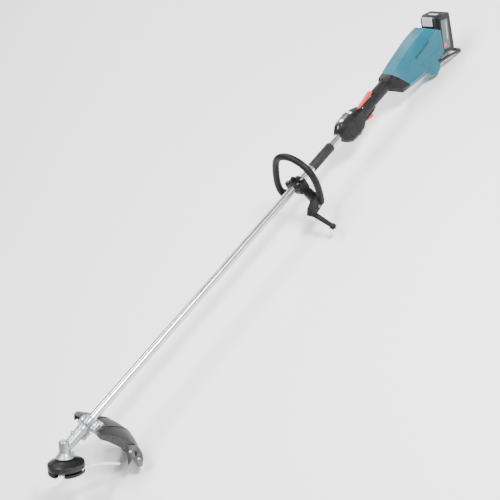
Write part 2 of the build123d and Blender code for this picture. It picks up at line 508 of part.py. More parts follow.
# control panel: glossy cap let into the top of the box, with openings for its keys
pan = prism([(1240.8, 17.0), (1250.8, 27.4), (1263.5, 32.2), (1300.0, 33.8), (1318.0, 29.3), (1330.8, 25.2), (1330.8, 22.4), (1317.2, 26.6), (1299.6, 31.0), (1264.2, 29.4), (1252.6, 25.2), (1243.0, 15.4)], -12.9, 12.9)
KEYS = {"power_button": (1311.0, 6.0, 4.8), "speed_button": (1308.0, -6.4, 4.8)}


def panel_z(x):
    """Height of the panel face at x."""
    pts = [(1240.8, 17.0), (1250.8, 27.4), (1263.5, 32.2), (1300.0, 33.8), (1318.0, 29.3), (1330.8, 25.2)]
    for (xa, za), (xb, zb) in zip(pts, pts[1:]):
        if xa <= x <= xb:
            return za + (zb - za) * (x - xa) / (xb - xa)
    return 0.0


for n, (x, y, r) in KEYS.items():
    pan = cut(pan, rod((x, y, 10), (x, y, 60), r + 0.3))
pan = cut(pan, slab(1268.0, 1278.0, -6.0, 7.0, 28.0, 40.0), slab(1246.5, 1254.0, -1.6, 1.6, 15.0, 40.0))
save("control_panel", pan)
for n, (x, y, r) in KEYS.items():
    b = fuse(rod((x, y, 24.0), (x, y, panel_z(x) + 1.2), r), rod((x, y, 22.0), (x, y, 24.2), r + 1.2))
    top = b.faces().sort_by(Axis.Z)[-1]
    save(n, fillet_try(b, top.edges(), 0.7))
save("indicator_lens", slab(1268.2, 1277.8, -5.8, 6.8, 29.0, panel_z(1273) + 0.1), prism([(1246.7, 20.0), (1246.7, 22.6), (1250.8, 26.8), (1253.8, 28.0), (1253.8, 24.6)], -1.4, 1.4))
save("switch_module", cut(slab(1268.0, 1318.0, -9.0, 9.0, -32.0, -14.0)))

# lock-off lever on top of the grip, trigger below
lev = prism([(1345.5, 17.4), (1350.0, 18.2), (1362.0, 19.6), (1378.0, 21.6), (1394.0, 24.0), (1408.0, 26.8), (1411.5, 26.4), (1413.0, 24.4), (1412.6, 20.8), (1404.0, 19.4),
             (1388.0, 18.2), (1370.0, 16.6), (1356.0, 13.6), (1352.0, 12.9), (1347.6, 12.9), (1345.5, 14.2)], -6.9, 6.9)
lev = fillet_try(lev, lev.edges().filter_by(GeomType.LINE).sort_by(Axis.Z)[-3:], 1.2)
lev = cut(lev, rod((1350.0, -10, 15.4), (1350.0, 10, 15.4), 1.58))
save("lock_off_lever", lev)
trg = prism([(1328.5, -18.0), (1334.0, -16.6), (1350.0, -19.4), (1370.0, -24.4), (1376.5, -26.6), (1378.6, -30.0), (1376.6, -38.6), (1372.6, -40.0), (1356.0, -36.4), (1342.0, -31.6), (1331.0, -25.6), (1328.5, -23.0)], -6.6, 6.6)
trg = cut(trg, rod((1332.5, -10, -20.5), (1332.5, 10, -20.5), 1.58))
save("trigger", trg)
save("switch_pivot_pins", rod((1350.0, -14.4, 15.4), (1350.0, 14.4, 15.4), 1.5), rod((1332.5, -14.4, -20.5), (1332.5, 14.4, -20.5), 1.5))

# ================================================================ motor housing: black nose, two coloured shells
hs = [(1466.0, (16, 14), (20, 4), (20, -10), (14, -20)), (1478.0, (22, 18.5), (27, 6), (29, -16), (21, -31)), (1497.0, (22.5, 20.5), (33, 6), (36, -32), (26, -51))]
hs2 = [(1497.0, (22.5, 20.5), (33, 6), (36, -32), (26, -51)), (1536.0, (23, 28.5), (38, 8), (41, -42), (27, -59)), (1570.0, (22, 34.5), (39.6, 10), (42.6, -46), (27, -66)),
       (1605.0, (22, 39.5), (40.6, 14.5), (43, -50), (27, -72)), (1664.0, (23, 42.0), (40.8, 20.0), (43, -54), (27, -76)), (1750.0, (24, 40), (40.4, 27), (43, -58), (27, -80))]
t = 3.0
body_o = fuse(shell_loft(hs), shell_loft(hs2, False))
in1 = [(1470.0,) + shrink([hs[0]], t)[0][1:], (1481.0,) + shrink([hs[1]], t)[0][1:], (1498.0,) + shrink([hs[2]], t)[0][1:]]
in2 = [(1498.0,) + shrink([hs2[0]], t)[0][1:]] + shrink(hs2[1:], t)
body_i = fuse(shell_loft(in1), shell_loft(in2, False))
rear_cut = prism([(1688.0, 90.0), (1688.0, 40.0), (1720.4, 7.0), (1689.3, -61.0), (1679.0, -84.0), (1679.0, -120.0), (1900.0, -120.0), (1900.0, 90.0)], -80, 80)
hollow = cut(body_o, body_i)
hollow = cut(hollow, rear_cut)
boss = prism([(1598.0, -60.0), (1604.0, -67.0), (1632.0, -94.0), (1652.0, -95.0), (1662.0, -85.0), (1666.0, -66.0), (1650.0, -60.0)], -34.0, 34.0)
boss = fillet_try(boss, boss.edges().filter_by(Axis.Y).sort_by(Axis.Z)[:2], 4.0)
boss = cut(boss, body_i)
boss = cut(boss, rear_cut)
hollow = fuse(hollow, boss)
SEAM_TOP, SEAM_BOT = (1494.0, 22.0), (1537.0, -62.0)      # slanted joint between nose and coloured shells
sx, sz = SEAM_BOT[0] - SEAM_TOP[0], SEAM_BOT[1] - SEAM_TOP[1]
k = 60.0 / abs(sz)
front_side = [(SEAM_TOP[0] - sx * k, SEAM_TOP[1] - sz * k), (SEAM_BOT[0] + sx * k, SEAM_BOT[1] + sz * k), (1400.0, SEAM_BOT[1] + sz * k), (1400.0, SEAM_TOP[1] - sz * k)]
front_half = prism(front_side, -80, 80)
nose = meet(hollow, front_half)
nose = cut(nose, rod((1460, 0, 0), (1475, 0, 0), 12.5), grip_o)
save("nose_cap", max(nose.solids(), key=lambda q: q.volume))
motor_case = cut(hollow, front_half)
# bail sockets
BAIL = [(1636.0, -28.0, -84.0), (1675.0, -30.0, -78.0), (1706.0, -37.0, -82.5), (1762.0, -37.0, -104.0), (1762.0, 37.0, -104.0), (1706.0, 37.0, -82.5), (1675.0, 30.0, -78.0), (1636.0, 28.0, -84.0)]
bail_wire = FilletPolyline(*BAIL, radius=13.0)
bw = Wire(bail_wire.edges()) if not isinstance(bail_wire, Wire) else bail_wire
pl0 = Plane(origin=bw @ 0, z_dir=bw % 0)
bail = Solid.sweep(Face(Wire([Edge.make_circle(BAIL_R, pl0)])), bw)
save("bail", bail)
motor_case = cut(motor_case, bail)
# cooling slots along both flanks, just under the shoulder ridge
for s in (-1, 1):
    for i in range(15):
        x = 1588.0 + i * 5.0
        z = 11.6 + i * 0.55
        motor_case = cut(motor_case, slab(x, x + 2.0, 36.0 if s > 0 else -50.0, 50.0 if s > 0 else -36.0, z - 8.0, z))
# passage for the front block of the battery
chan = slab(-14.2, 2.0, -29.2, 29.2, 14.0, 200.0)
motor_case = cut(motor_case, at(chan, LOC_B))
mc_l = meet(motor_case, slab(1400, 1900, -80, 0, -140, 90))
mc_r = meet(motor_case, slab(1400, 1900, 0, 80, -140, 90))
save("motor_housing_left", max(mc_l.solids(), key=lambda q: q.volume))
save("motor_housing_right", max(mc_r.solids(), key=lambda q: q.volume))

# battery mount: dark tray behind the shells, with two rails and a floor stop (battery frame)
mount = fuse(slab(-18.0, -14.6, -35.0, 35.0, 6.0, 74.0), slab(-15.0, -0.8, 28.6, 35.0, 6.0, 70.0), slab(-15.0, -0.8, -35.0, -28.6, 6.0, 70.0), slab(-15.0, -0.8, -29.0, 29.0, 6.0, 13.6))
mount = fuse(mount, slab(-8.0, -5.0, 25.2, 29.0, 13.0, 70.0), slab(-8.0, -5.0, -29.0, -25.2, 13.0, 70.0))
save("battery_mount", mount, loc=LOC_B)
save("battery_terminals", [slab(-11.0, -4.0, y - 0.5, y + 0.5, 13.6, 29.0) for y in (-9.0, 0.0, 9.0)], loc=LOC_B)

# motor and electronics inside
save("shaft_coupling", ring((1550.0, 0, 0), (1582.0, 0, 0), 8.0, 3.5))
save("pipe_holder", fuse(ring((1484.0, 0, 0), (1512.0, 0, 0), 15.5, TUBE_OD / 2 + 0.02)))
rotor = fuse(rod((1567.0, 0, 0), (1668.0, 0, 0), 3.5), rod((1596.0, 0, 0), (1642.0, 0, 0), 14.0))
save("motor_rotor", rotor)
save("motor_stator", ring((1594.0, 0, 0), (1644.0, 0, 0), 28.0, 14.6))
save("motor_bearings", ring((1584.5, 0, 0), (1591.5, 0, 0), 11.0, 3.6), ring((1652.0, 0, 0), (1659.0, 0, 0), 9.5, 3.6))
save("motor_end_plates", cut(rod((1583.5, 0, 0), (1593.8, 0, 0), 29.5), rod((1580, 0, 0), (1600, 0, 0), 11.02)), cut(rod((1649.0, 0, 0), (1661.0, 0, 0), 22.0), rod((1640, 0, 0), (1670, 0, 0), 9.52)))
save("motor_controller", slab(1566.0, 1632.0, -24.0, 24.0, -60.0, -38.0))

# ================================================================ battery (battery frame)
case_pts = [(0.0, 0.0), (36.0, 2.8), (36.0, 118.5), (9.0, 117.0), (0.0, 109.5)]
case = prism(case_pts, -BAT_W / 2, BAT_W / 2)
case = fillet_try(case, case.edges().filter_by(Axis.Z).sort_by(Axis.X)[:2], 3.0)
block = slab(-13.0, 2.0, -28.0, 28.0, 15.0, 112.0)
block = fillet_try(block, block.edges().filter_by(Axis.Z).sort_by(Axis.X)[:2], 2.0)
case = fuse(case, block)
case = cut(case, prism([(3.0, 3.2), (40.0, 5.6), (40.0, 115.6), (10.0, 114.2), (3.0, 108.0)], -BAT_W / 2 + 3.0, BAT_W / 2 - 3.0))
for s in (-1, 1):
    case = cut(case, slab(-8.4, -4.6, 24.6 if s > 0 else -30.0, 30.0 if s > 0 else -24.6, 10.0, 73.0))
for y in (-9.0, 0.0, 9.0):
    case = cut(case, slab(-11.6, -3.4, y - 1.1, y + 1.1, 10.0, 31.0))
case = cut(case, slab(-16.6, -8.2, -20.4, 20.4, 82.2, 130.0))                       # button bay
save("battery_case", case, loc=LOC_B)
back = prism([(36.0, 2.8), (52.0, 4.0), (52.6, 20.0), (48.2, 116.0), (45.0, 119.6), (36.0, 118.5)], -BAT_W / 2, BAT_W / 2)
be = back.edges().filter_by(GeomType.LINE)
back = fillet_try(back, [e for e in back.edges() if abs((e @ 0.5).X - 52.3) < 0.6 or abs((e @ 0.5).X - 50.4) < 0.6 or abs((e @ 0.5).X - 46.6) < 0.7], 3.0)
back = cut(back, prism([(34.0, 5.6), (49.0, 6.8), (49.4, 20.0), (45.4, 115.0), (34.0, 115.6)], -BAT_W / 2 + 3.0, BAT_W / 2 - 3.0))
save("battery_back_cover", back, loc=LOC_B)
save("battery_cells", [rod((r, -34.0, s), (r, 34.0, s), 10.2) for r in (14.2, 35.2) for s in (17.6, 38.6, 59.6, 80.6, 101.6)], loc=LOC_B)
save("battery_side_panels", [slab(6.0, 34.5, y0, y1, 14.0, 103.0) for y0, y1 in ((-38.6, -38.0), (38.0, 38.6))], loc=LOC_B)
ind = prism([(12.0, 117.3), (22.0, 117.85), (22.0, 118.7), (12.0, 118.15)], -17.0, 17.0)
save("charge_indicator", ind, loc=LOC_B)
btn = slab(-15.6, -8.6, -20.0, 20.0, 88.0, 114.5)
btn = fillet_try(btn, btn.edges().filter_by(Axis.Z).sort_by(Axis.X)[:2], 2.0)
btn = cut(btn, slab(-16.0, -15.0, -14.0, 14.0, 93.0, 109.0))
save("battery_release_button", btn, loc=LOC_B)

# ================================================================ lay down, trim and write
names = sorted(PARTS)
for n in names:
    PARTS[n] = [s.moved(LOC_REST) for s in PARTS[n]]
boxes = {n: Compound(PARTS[n]).bounding_box() for n in names}
zmin = min(b.min.Z for b in boxes.values())
xmin = min(b.min.X for b in boxes.values())
xmax = max(b.max.X for b in boxes.values())
ymin = min(b.min.Y for b in boxes.values())
ymax = max(b.max.Y for b in boxes.values())
SHIFT = (-(xmin + xmax) / 2, -(ymin + ymax) / 2, -zmin)
LOC_WORLD = Location(SHIFT) * LOC_REST                     # pipe frame to the lying part's frame
if __name__ == "__main__":
    low = sorted((round(b.min.Z - zmin, 2), n) for n, b in boxes.items())[:4]
    print("shift", [round(v, 4) for v in SHIFT], "lowest", low, "size", round(xmax - xmin, 1), round(ymax - ymin, 1), round(max(b.max.Z for b in boxes.values()) - zmin, 1))
    for n in names:
        ss = [s.moved(Location(SHIFT)) for s in PARTS[n]]
        export_step(ss[0] if len(ss) == 1 else Compound(children=ss, label=n), "parts/%s.step" % n)
    print(len(names), "nodes")
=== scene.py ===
import json
import math

import bmesh
import bpy
from mathutils import Matrix, Vector


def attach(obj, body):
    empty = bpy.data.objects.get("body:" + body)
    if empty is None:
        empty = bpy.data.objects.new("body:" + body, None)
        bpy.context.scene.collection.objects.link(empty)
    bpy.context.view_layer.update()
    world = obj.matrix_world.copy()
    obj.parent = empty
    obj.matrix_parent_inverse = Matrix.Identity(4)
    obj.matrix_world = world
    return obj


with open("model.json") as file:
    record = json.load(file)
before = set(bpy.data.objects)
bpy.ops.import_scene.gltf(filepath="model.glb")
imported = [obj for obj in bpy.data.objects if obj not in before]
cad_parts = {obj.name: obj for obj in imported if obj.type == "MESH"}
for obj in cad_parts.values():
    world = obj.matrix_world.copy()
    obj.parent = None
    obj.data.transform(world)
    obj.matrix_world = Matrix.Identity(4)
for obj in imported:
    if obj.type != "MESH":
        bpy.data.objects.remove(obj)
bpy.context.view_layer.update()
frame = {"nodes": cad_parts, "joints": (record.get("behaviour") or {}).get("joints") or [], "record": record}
nodes = frame["nodes"]
record = frame["record"]
slot_of = {s["node"]: s["material_slot"] for s in record["subparts"]}

# ------------------------------------------------------------------ frames (metres)
REST = math.radians(2.2182)
RX = Matrix.Rotation(REST, 4, "Y")
spin = next(j for j in frame["joints"] if j["name"] == "head_spin")
ORIGIN = Vector(spin["pos_m"])                      # where spindle and pipe axes meet
S2W = Matrix.Translation(ORIGIN) @ RX               # pipe frame to row frame
B2W = S2W @ Matrix.Translation((1.690, 0, -0.062)) @ Matrix.Rotation(math.radians(24.7), 4, "Y")


def mm(*p):
    return Vector([v / 1000.0 for v in p])


# ------------------------------------------------------------------ materials
# the edge amount and edge colour arguments paint convex edges lighter: partly rubbed wear, partly painted highlight
def node_mat(name, base, rough=0.5, metal=0.0, tint=0.12, scale=60.0, grain=900.0, grain_bump=0.10, broad_bump=0.03,
             wear_and_highlight=0.25, wear_and_highlight_col=None, coat=0.0, rough_var=0.10, bevel=0.0006, spec=0.5, trans=0.0, sss=0.0, brush=None, dots=None, rings=None, alpha=None):
    m = bpy.data.materials.new(name)
    m.use_nodes = True
    nt = m.node_tree
    N, L = nt.nodes, nt.links
    bsdf = N["Principled BSDF"]
    bsdf.inputs["Metallic"].default_value = metal
    bsdf.inputs["Specular IOR Level"].default_value = spec
    bsdf.inputs["Coat Weight"].default_value = coat
    bsdf.inputs["Coat Roughness"].default_value = 0.12
    if trans:
        bsdf.inputs["Transmission Weight"].default_value = trans
        bsdf.inputs["IOR"].default_value = 1.5
    if sss:
        bsdf.inputs["Subsurface Weight"].default_value = sss
        bsdf.inputs["Subsurface Scale"].default_value = 0.004
    tc = N.new("ShaderNodeTexCoord")
    # broad mottling
    n1 = N.new("ShaderNodeTexNoise"); n1.inputs["Scale"].default_value = scale; n1.inputs["Detail"].default_value = 6.0
    n1.inputs["Roughness"].default_value = 0.62
    L.new(tc.outputs["Object"], n1.inputs["Vector"])
    r1 = N.new("ShaderNodeValToRGB")
    dark = [c * (1.0 - tint) for c in base]
    lite = [min(1.0, c * (1.0 + tint) + 0.004) for c in base]
    r1.color_ramp.elements[0].position = 0.34; r1.color_ramp.elements[0].color = (*dark, 1)
    r1.color_ramp.elements[1].position = 0.68; r1.color_ramp.elements[1].color = (*lite, 1)
    L.new(n1.outputs["Fac"], r1.inputs["Fac"])
    # fine moulding grain
    n2 = N.new("ShaderNodeTexNoise"); n2.inputs["Scale"].default_value = grain; n2.inputs["Detail"].default_value = 3.0
    if brush is not None:
        mp = N.new("ShaderNodeMapping"); mp.inputs["Scale"].default_value = brush
        L.new(tc.outputs["Object"], mp.inputs["Vector"]); L.new(mp.outputs["Vector"], n2.inputs["Vector"])
    else:
        L.new(tc.outputs["Object"], n2.inputs["Vector"])
    # edge wear and painted highlight from pointiness: convex edges are painted a lighter colour, partly as rubbed wear
    # and partly as a painted highlight
    geo = N.new("ShaderNodeNewGeometry")
    er = N.new("ShaderNodeValToRGB"); er.color_ramp.elements[0].position = 0.52; er.color_ramp.elements[1].position = 0.60
    L.new(geo.outputs["Pointiness"], er.inputs["Fac"])
    n3 = N.new("ShaderNodeTexNoise"); n3.inputs["Scale"].default_value = 240.0; n3.inputs["Detail"].default_value = 5.0
    L.new(tc.outputs["Object"], n3.inputs["Vector"])
    mw = N.new("ShaderNodeMath"); mw.operation = "MULTIPLY"
    L.new(er.outputs["Color"], mw.inputs[0]); L.new(n3.outputs["Fac"], mw.inputs[1])
    ms = N.new("ShaderNodeMath"); ms.operation = "MULTIPLY"; ms.inputs[1].default_value = wear_and_highlight
    L.new(mw.outputs[0], ms.inputs[0])
    mx = N.new("ShaderNodeMixRGB"); mx.blend_type = "MIX"
    # lighter colour painted on convex edges: rubbed wear plus painted highlight
    wc = wear_and_highlight_col or [min(1.0, c * 1.8 + 0.05) for c in base]
    mx.inputs["Color2"].default_value = (*wc, 1)
    L.new(ms.outputs[0], mx.inputs["Fac"]); L.new(r1.outputs["Color"], mx.inputs["Color1"])
    col = mx.outputs["Color"]
    if dots is not None:
        v = N.new("ShaderNodeTexVoronoi"); v.inputs["Scale"].default_value = dots; v.inputs["Randomness"].default_value = 0.12
        L.new(tc.outputs["Object"], v.inputs["Vector"])
        vr = N.new("ShaderNodeValToRGB"); vr.color_ramp.elements[0].position = 0.18; vr.color_ramp.elements[1].position = 0.42
        vr.color_ramp.elements[0].color = (0.35, 0.35, 0.35, 1); vr.color_ramp.elements[1].color = (1, 1, 1, 1)
        L.new(v.outputs["Distance"], vr.inputs["Fac"])
        mm_ = N.new("ShaderNodeMixRGB"); mm_.blend_type = "MULTIPLY"; mm_.inputs["Fac"].default_value = 0.85
        L.new(col, mm_.inputs["Color1"]); L.new(vr.outputs["Color"], mm_.inputs["Color2"])
        col = mm_.outputs["Color"]
    L.new(col, bsdf.inputs["Base Color"])
    # roughness
    rr = N.new("ShaderNodeMapRange"); rr.inputs["To Min"].default_value = max(0.02, rough - rough_var); rr.inputs["To Max"].default_value = min(1.0, rough + rough_var)
    L.new(n1.outputs["Fac"], rr.inputs["Value"]); L.new(rr.outputs["Result"], bsdf.inputs["Roughness"])
    # bump: grain over broad waviness, softened edges underneath
    bv = N.new("ShaderNodeBevel"); bv.inputs["Radius"].default_value = bevel; bv.samples = 4
    b1 = N.new("ShaderNodeBump"); b1.inputs["Strength"].default_value = broad_bump; b1.inputs["Distance"].default_value = 0.001
    L.new(n1.outputs["Fac"], b1.inputs["Height"]); L.new(bv.outputs["Normal"], b1.inputs["Normal"])
    b2 = N.new("ShaderNodeBump"); b2.inputs["Strength"].default_value = grain_bump; b2.inputs["Distance"].default_value = 0.0002
    L.new(n2.outputs["Fac"], b2.inputs["Height"]); L.new(b1.outputs["Normal"], b2.inputs["Normal"])
    last = b2
    if dots is not None:
        b3 = N.new("ShaderNodeBump"); b3.inputs["Strength"].default_value = 0.6; b3.inputs["Distance"].default_value = 0.0006
        L.new(vr.outputs["Color"], b3.inputs["Height"]); L.new(b2.outputs["Normal"], b3.inputs["Normal"]); last = b3
    if rings is not None:
        w = N.new("ShaderNodeTexWave"); w.wave_type = "RINGS"; w.inputs["Scale"].default_value = rings
        L.new(tc.outputs["Object"], w.inputs["Vector"])
        b4 = N.new("ShaderNodeBump"); b4.inputs["Strength"].default_value = 0.08; b4.inputs["Distance"].default_value = 0.0003
        L.new(w.outputs["Fac"], b4.inputs["Height"]); L.new(last.outputs["Normal"], b4.inputs["Normal"]); last = b4
    L.new(last.outputs["Normal"], bsdf.inputs["Normal"])
    return m


BLACK = (0.006, 0.006, 0.0065)
M = {
    "black_steel_rod": node_mat("black_steel_rod", (0.012, 0.012, 0.013), 0.38, coat=0.25, grain=1400, wear_and_highlight=0.5, wear_and_highlight_col=(0.2, 0.2, 0.2)),
    "black_plastic": node_mat("black_plastic", BLACK, 0.46, spec=0.17, grain=1500, grain_bump=0.22),
    "battery_black": node_mat("battery_black", (0.008, 0.008, 0.009), 0.42, spec=0.17, grain=1600, grain_bump=0.25, wear_and_highlight=0.35),
    "cell_wrap": node_mat("cell_wrap", (0.03, 0.12, 0.35), 0.3, coat=0.4),
    "latch_grey": node_mat("latch_grey", (0.42, 0.42, 0.44), 0.45, grain=1500, grain_bump=0.2, tint=0.07),
    "panel_grey_green": node_mat("panel_grey_green", (0.055, 0.080, 0.078), 0.40, spec=0.35, grain=1800, tint=0.10),
    "contact_brass": node_mat("contact_brass", (0.75, 0.55, 0.22), 0.25, 1.0),
    "blade_plastic": node_mat("blade_plastic", (0.93, 0.935, 0.94), 0.38, tint=0.03, trans=0.05, sss=0.15, grain=700, grain_bump=0.08, wear_and_highlight=0.0, rough_var=0.06),
    "steel_bright": node_mat("steel_bright", (0.60, 0.60, 0.61), 0.27, 1.0, grain=2200, grain_bump=0.12, tint=0.10),
    "steel_dark": node_mat("steel_dark", (0.18, 0.18, 0.19), 0.33, 1.0, grain=2000),
    "indicator_pale": node_mat("indicator_pale", (0.48, 0.54, 0.54), 0.22, coat=0.6, tint=0.08),
    "panel_gloss": node_mat("panel_gloss", (0.006, 0.006, 0.007), 0.30, coat=0.12, spec=0.25, grain_bump=0.04, tint=0.15),
    "case_silver": node_mat("case_silver", (0.33, 0.34, 0.35), 0.38, 0.7, tint=0.09, scale=35, grain=1100, grain_bump=0.28, broad_bump=0.08, coat=0.3, wear_and_highlight=0.15, bevel=0.0014),
    "guard_grey": node_mat("guard_grey", (0.009, 0.009, 0.0095), 0.42, spec=0.18, grain=900, grain_bump=0.30, scale=22, tint=0.16, broad_bump=0.06, wear_and_highlight=0.45, wear_and_highlight_col=(0.2, 0.2, 0.2), bevel=0.0012),
    "bracket_silver": node_mat("bracket_silver", (0.30, 0.31, 0.32), 0.32, 0.75, tint=0.09, grain=1000, grain_bump=0.25, wear_and_highlight=0.2, bevel=0.0012),
    "handle_black": node_mat("handle_black", (0.005, 0.005, 0.0055), 0.42, spec=0.17, grain=1300, grain_bump=0.20, wear_and_highlight=0.2, bevel=0.0010),
    "head_black": node_mat("head_black", (0.006, 0.006, 0.0065), 0.36, spec=0.18, grain=1200, grain_bump=0.18, wear_and_highlight=0.5, wear_and_highlight_col=(0.16, 0.16, 0.16), bevel=0.0012, rings=30),
    "lens_white": node_mat("lens_white", (0.55, 0.75, 0.76), 0.15, coat=0.7, tint=0.08),
    "cutter_steel": node_mat("cutter_steel", (0.028, 0.028, 0.030), 0.36, 0.35, grain=1600, wear_and_highlight=0.7, wear_and_highlight_col=(0.35, 0.35, 0.36)),
    "red_plastic": node_mat("red_plastic", (0.58, 0.020, 0.016), 0.40, spec=0.35, grain=1400, grain_bump=0.15, tint=0.10, sss=0.05),
    "grip_rubber": node_mat("grip_rubber", (0.006, 0.006, 0.0065), 0.50, spec=0.17, grain=1100, grain_bump=0.35, wear_and_highlight=0.15),
    "tube_steel": node_mat("tube_steel", (0.5, 0.5, 0.5), 0.3, 1.0),
    "pipe_aluminium": node_mat("pipe_aluminium", (0.50, 0.50, 0.51), 0.24, 0.96, tint=0.045, scale=26, grain=260, grain_bump=0.10, brush=(0.06, 14.0, 14.0), wear_and_highlight=0.1, rough_var=0.07),
    "controller_green": node_mat("controller_green", (0.02, 0.13, 0.05), 0.35),
    "plate_aluminium": node_mat("plate_aluminium", (0.62, 0.62, 0.63), 0.38, 1.0),
    # the lighter teal edge colour paints the housing's convex edges and ridges as a painted highlight as well as rubbed
    # wear
    "housing_teal": node_mat("housing_teal", (0.0008, 0.080, 0.120), 0.36, spec=0.24, tint=0.07, scale=18, grain=1500, grain_bump=0.16, coat=0.05, wear_and_highlight=0.30, wear_and_highlight_col=(0.04, 0.26, 0.34), bevel=0.0020),
    "stator_copper": node_mat("stator_copper", (0.5, 0.2, 0.08), 0.35, 0.8, dots=900),
    "nose_black": node_mat("nose_black", (0.005, 0.005, 0.0055), 0.40, spec=0.17, grain=1400, grain_bump=0.22, wear_and_highlight=0.4, bevel=0.0016),
    "button_pale": node_mat("button_pale", (0.58, 0.68, 0.80), 0.28, coat=0.5, tint=0.06),
    "bush_rubber": node_mat("bush_rubber", (0.03, 0.03, 0.03), 0.7),
    "sleeve_rubber": node_mat("sleeve_rubber", (0.012, 0.012, 0.0125), 0.56, spec=0.2, dots=330, grain=1200, tint=0.10),
}


# ------------------------------------------------------------------ edge smoothing shared by the carried-over pieces
def smooth_tree():
    t = bpy.data.node_groups.new("smooth_edges", "GeometryNodeTree")
    t.interface.new_socket("Geometry", in_out="INPUT", socket_type="NodeSocketGeometry")
    t.interface.new_socket("Geometry", in_out="OUTPUT", socket_type="NodeSocketGeometry")
    N, L = t.nodes, t.links
    gi, go = N.new("NodeGroupInput"), N.new("NodeGroupOutput")
    ea = N.new("GeometryNodeInputMeshEdgeAngle")
    cp = N.new("FunctionNodeCompare"); cp.data_type = "FLOAT"; cp.operation = "LESS_EQUAL"; cp.inputs["B"].default_value = math.radians(31)
    L.new(ea.outputs["Unsigned Angle"], cp.inputs["A"])
    sf = N.new("GeometryNodeSetShadeSmooth"); sf.domain = "FACE"
    se = N.new("GeometryNodeSetShadeSmooth"); se.domain = "EDGE"
    L.new(gi.outputs[0], sf.inputs["Geometry"])
    L.new(sf.outputs[0], se.inputs["Geometry"]); L.new(cp.outputs["Result"], se.inputs["Shade Smooth"])
    L.new(se.outputs[0], go.inputs[0])
    return t


SMOOTH = smooth_tree()
BEVELS = {"gear_case": 0.0008, "guard": 0.0006, "nose_cap": 0.0012, "head_upper_cover": 0.0008, "head_lower_plate": 0.0006, "guard_bracket_cap": 0.0008,
          "guard_bracket_base": 0.0008, "handle_clamp_upper": 0.0008, "handle_clamp_lower": 0.0008, "battery_case": 0.0006, "battery_release_button": 0.0008,
          "lock_off_lever": 0.0010, "trigger": 0.0010, "power_button": 0.0005, "speed_button": 0.0005, "control_panel": 0.0005, "line_cutter": 0.0005,
          "blade_1": 0.0008, "blade_2": 0.0008, "blade_3": 0.0008, "guard_bolts": 0.0004}


def finish_mesh(o, width=None, weld=True):
    if weld:
        w = o.modifiers.new("weld", "WELD"); w.merge_threshold = 2e-6
    if width:
        b = o.modifiers.new("round_edges", "BEVEL")
        b.width = width; b.segments = 2; b.limit_method = "ANGLE"; b.angle_limit = math.radians(34); b.use_clamp_overlap = True
    g = o.modifiers.new("smooth", "NODES"); g.node_group = SMOOTH


for n, o in nodes.items():
    mat = M[slot_of[n]]
    if len(o.data.materials) == 0:
        o.data.materials.append(mat)
    for i in range(len(o.data.materials)):
        o.data.materials[i] = mat
    finish_mesh(o, BEVELS.get(n))


# ------------------------------------------------------------------ added pieces
def new_piece(name, bm, slot, body, mat=None, matrix=None, bevel=None):
    me = bpy.data.meshes.new(name)
    bmesh.ops.recalc_face_normals(bm, faces=bm.faces)
    bm.to_mesh(me); bm.free()
    if matrix is not None:
        me.transform(matrix)
    o = bpy.data.objects.new(name, me)
    bpy.context.scene.collection.objects.link(o)
    me.materials.append(mat or M[slot])
    finish_mesh(o, bevel, weld=False)
    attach(o, body)
    return o


def bar(bm, path, w, h, n_out):
    """Closed raised strip along a path: w wide, h proud, shallow roof section. n_out is the outward direction."""
    rings = []
    for i, p in enumerate(path):
        a, b = path[max(i - 1, 0)], path[min(i + 1, len(path) - 1)]
        t = (b - a).normalized()
        s = t.cross(n_out).normalized() * (w / 2)
        k = 0.35 if i in (0, len(path) - 1) else 1.0
        rings.append([bm.verts.new(p - s - n_out * h * 0.4), bm.verts.new(p - s * 0.6 * k + n_out * h * k), bm.verts.new(p + s * 0.6 * k + n_out * h * k), bm.verts.new(p + s - n_out * h * 0.4)])
    for a, b in zip(rings, rings[1:]):
        for j in range(4):
            bm.faces.new((a[j], a[(j + 1) % 4], b[(j + 1) % 4], b[j]))
    bm.faces.new(rings[0]); bm.faces.new(rings[-1][::-1])


def screw_head(bm, at, axis, r, h, sides=28):
    """Domed pan head with a six-lobed recess."""
    q = axis.to_track_quat("Z", "Y").to_matrix().to_4x4()
    m = Matrix.Translation(at) @ q
    prof = [(r, -0.0004), (r, h * 0.35), (r * 0.93, h * 0.7), (r * 0.78, h * 0.95), (r * 0.55, h)]
    rings = []
    for pr, pz in prof:
        rings.append([bm.verts.new(m @ Vector((pr * math.cos(2 * math.pi * k / sides), pr * math.sin(2 * math.pi * k / sides), pz))) for k in range(sides)])
    lobes = []
    for k in range(sides):
        a = 2 * math.pi * k / sides
        rr = r * (0.36 + 0.07 * math.cos(6 * a))
        lobes.append((rr * math.cos(a), rr * math.sin(a)))
    rings.append([bm.verts.new(m @ Vector((x, y, h))) for x, y in lobes])
    rings.append([bm.verts.new(m @ Vector((x * 0.92, y * 0.92, h * 0.3))) for x, y in lobes])
    for a, b in zip(rings, rings[1:]):
        for j in range(sides):
            bm.faces.new((a[j], a[(j + 1) % sides], b[(j + 1) % sides], b[j]))
    bm.faces.new(rings[-1]); bm.faces.new(rings[0][::-1])


def hit(node, x, y_from, z, frame_m=S2W):
    """Where a line along Y in the pipe frame first meets a node, and the outward normal there."""
    o = nodes[node]
    a = frame_m @ mm(x, y_from, z)
    d = (frame_m @ mm(x, 0, z) - a).normalized()
    ok, loc, nor, _ = o.ray_cast(a, d)
    if not ok:
        return None
    return loc, (nor if nor.dot(d) < 0 else -nor)


